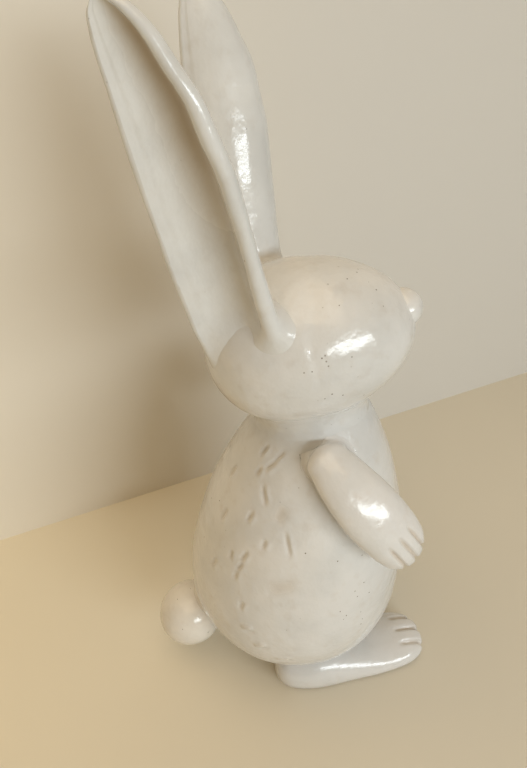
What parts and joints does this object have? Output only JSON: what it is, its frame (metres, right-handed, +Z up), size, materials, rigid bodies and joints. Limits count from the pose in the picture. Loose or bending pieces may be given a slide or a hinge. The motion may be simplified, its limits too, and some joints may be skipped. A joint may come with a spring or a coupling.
{
  "type": "ceramic rabbit figurine",
  "caption": "Standing glazed ceramic rabbit ornament: hollow egg-shaped body and head, tall troughed ears, paddle arms, long flat feet and a ball tail.",
  "frame": {"origin": "on the table, at the centre of the bounding box's base", "axes": "the rabbit faces -Y, its left side is +X, +Z is up"},
  "size_m": [0.1442, 0.1789, 0.3996],
  "materials": {
    "body_glaze": "glossy off-white glaze, tan clay showing in the tool marks",
    "head_glaze": "glossy off-white glaze with pinholes",
    "ear_glaze": "glossy greyish white glaze, thin at the rims",
    "limb_glaze": "glossy white glaze, bare clay under the feet",
    "tail_glaze": "glossy greyish white glaze"
  },
  "bodies": {
    "root": {"body_lower_bowl": "body_glaze", "body_upper_bowl": "body_glaze", "neck_coil": "body_glaze", "head_back_bowl": "head_glaze", "head_front_bowl": "head_glaze", "nose_pellet": "head_glaze", "ear_right": "ear_glaze", "ear_left": "ear_glaze", "arm_right": "limb_glaze", "arm_left": "limb_glaze", "foot_right": "limb_glaze", "foot_left": "limb_glaze", "tail_ball": "tail_glaze", "tail_collar": "tail_glaze"}
  },
  "joints": []
}
